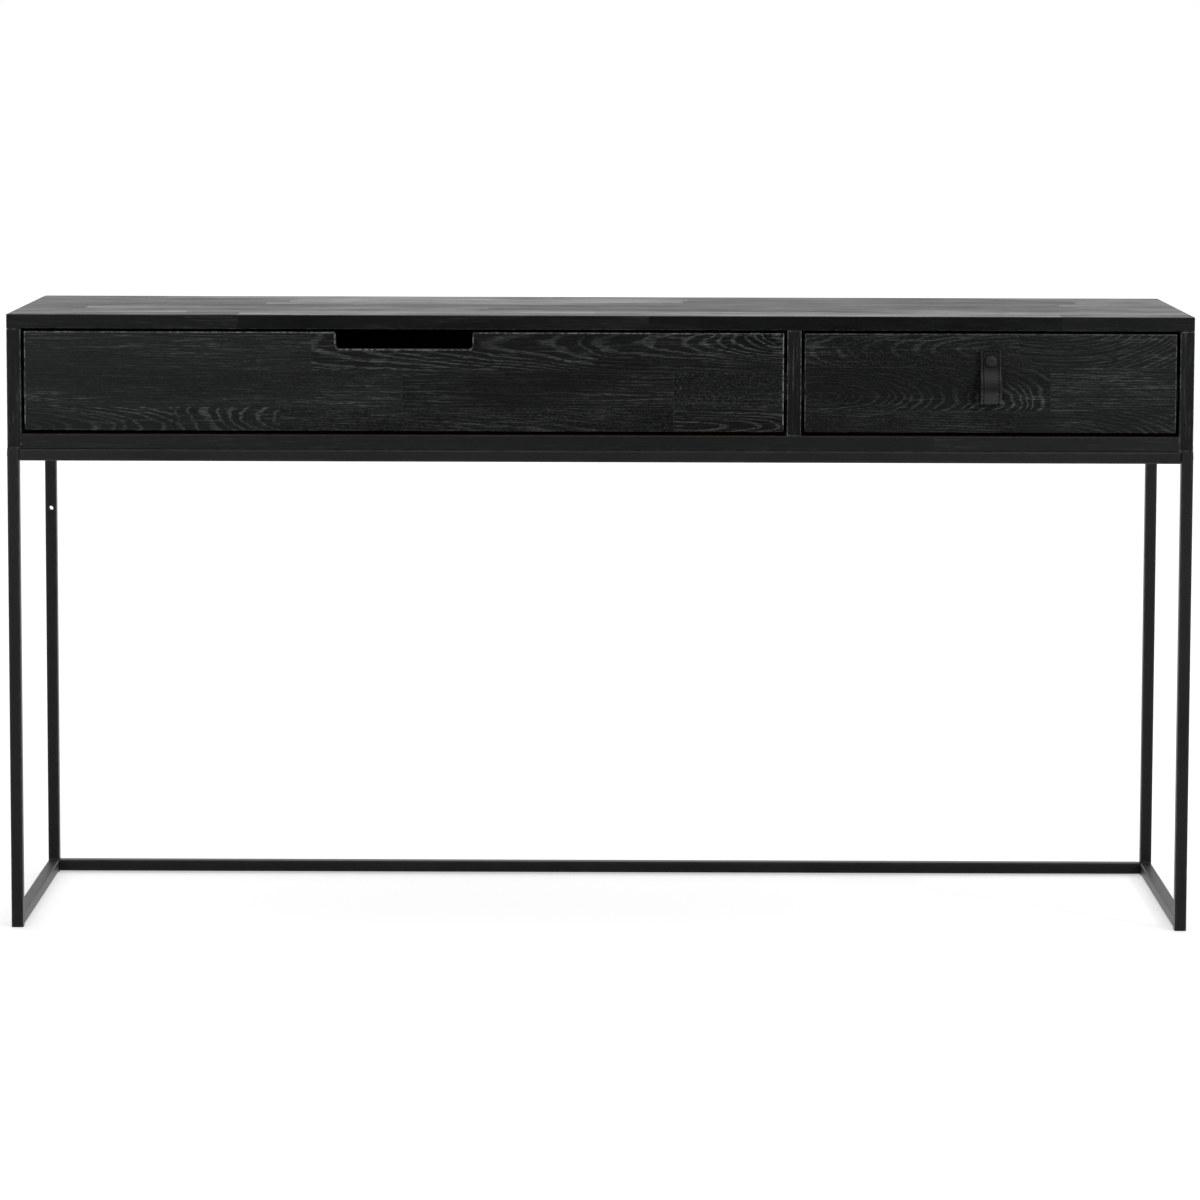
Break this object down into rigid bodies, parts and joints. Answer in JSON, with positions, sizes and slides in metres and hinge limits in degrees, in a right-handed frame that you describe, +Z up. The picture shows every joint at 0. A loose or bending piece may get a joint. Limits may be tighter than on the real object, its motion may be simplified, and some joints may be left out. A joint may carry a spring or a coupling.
{
  "type": "writing desk",
  "caption": "Long shallow writing desk: a black-stained oak case with a wide finger-pull drawer and a narrow drawer with a leather strap handle, on a slim square-tube steel frame.",
  "frame": {"origin": "on the floor, under the middle of the whole desk's box, which includes the strap handle", "axes": "+X along the desk to its right as seen from the front, +Y towards the back, +Z up; the drawers open towards -Y"},
  "size_m": [1.5018, 0.4174, 0.785],
  "materials": {
    "case_oak": "black-stained oak, open-pored, brushed matt",
    "front_oak": "black-stained oak, open-pored, brushed matt",
    "drawer_box_oak": "black-stained oak, matt",
    "frame_steel": "matt black powder coat",
    "glide_plastic": "matt",
    "washer_plastic": "matt",
    "black_screw": "black zinc, satin",
    "runner_steel": "bright zinc, satin",
    "strap_leather": "smooth black leather with black stitching",
    "black_stud": "black lacquer, semi-gloss"
  },
  "bodies": {
    "desk": {"top_panel": "case_oak", "left_side_panel": "case_oak", "right_side_panel": "case_oak", "bottom_panel": "case_oak", "divider_panel": "case_oak", "back_panel": "case_oak", "front_left_leg": "frame_steel", "front_right_leg": "frame_steel", "rear_left_leg": "frame_steel", "rear_right_leg": "frame_steel", "left_top_rail": "frame_steel", "right_top_rail": "frame_steel", "left_base_rail": "frame_steel", "right_base_rail": "frame_steel", "front_top_rail": "frame_steel", "rear_top_rail": "frame_steel", "rear_base_rail": "frame_steel", "front_left_glide": "glide_plastic", "front_right_glide": "glide_plastic", "rear_left_glide": "glide_plastic", "rear_right_glide": "glide_plastic", "front_top_left_washer": "washer_plastic", "front_top_right_washer": "washer_plastic", "rear_top_left_washer": "washer_plastic", "rear_top_right_washer": "washer_plastic", "front_left_case_screw": "black_screw", "front_right_case_screw": "black_screw", "rear_left_case_screw": "black_screw", "rear_right_case_screw": "black_screw", "front_top_left_bolt": "black_screw", "front_top_right_bolt": "black_screw", "rear_top_left_bolt": "black_screw", "rear_top_right_bolt": "black_screw", "rear_base_left_bolt": "black_screw", "rear_base_right_bolt": "black_screw", "left_drawer_left_case_member": "runner_steel", "left_drawer_right_case_member": "runner_steel", "right_drawer_left_case_member": "runner_steel", "right_drawer_right_case_member": "runner_steel"},
    "left_runner_middle": {"left_drawer_left_middle_member": "runner_steel", "left_drawer_right_middle_member": "runner_steel"},
    "right_runner_middle": {"right_drawer_left_middle_member": "runner_steel", "right_drawer_right_middle_member": "runner_steel"},
    "left_drawer": {"left_drawer_front": "front_oak", "left_drawer_left_side": "drawer_box_oak", "left_drawer_right_side": "drawer_box_oak", "left_drawer_back": "drawer_box_oak", "left_drawer_bottom": "drawer_box_oak", "left_drawer_left_drawer_member": "runner_steel", "left_drawer_right_drawer_member": "runner_steel"},
    "right_drawer": {"right_drawer_front": "front_oak", "right_drawer_left_side": "drawer_box_oak", "right_drawer_right_side": "drawer_box_oak", "right_drawer_back": "drawer_box_oak", "right_drawer_bottom": "drawer_box_oak", "right_drawer_left_drawer_member": "runner_steel", "right_drawer_right_drawer_member": "runner_steel", "strap_handle": "strap_leather", "strap_stud": "black_stud", "strap_screw": "black_stud"}
  },
  "joints": [
    {"name": "left_drawer_slide", "type": "slide", "parent": "desk", "child": "left_drawer", "axis": [0, -1, 0], "range_m": [0, 0.35]},
    {"name": "left_runner_travel", "type": "slide", "parent": "desk", "child": "left_runner_middle", "axis": [0, -1, 0], "range_m": [0, 0.175]},
    {"name": "right_drawer_slide", "type": "slide", "parent": "desk", "child": "right_drawer", "axis": [0, -1, 0], "range_m": [0, 0.35]},
    {"name": "right_runner_travel", "type": "slide", "parent": "desk", "child": "right_runner_middle", "axis": [0, -1, 0], "range_m": [0, 0.175]}
  ],
  "couplings": [
    {"joint": "left_runner_travel", "follows": "left_drawer_slide", "ratio": 0.5},
    {"joint": "right_runner_travel", "follows": "right_drawer_slide", "ratio": 0.5}
  ]
}
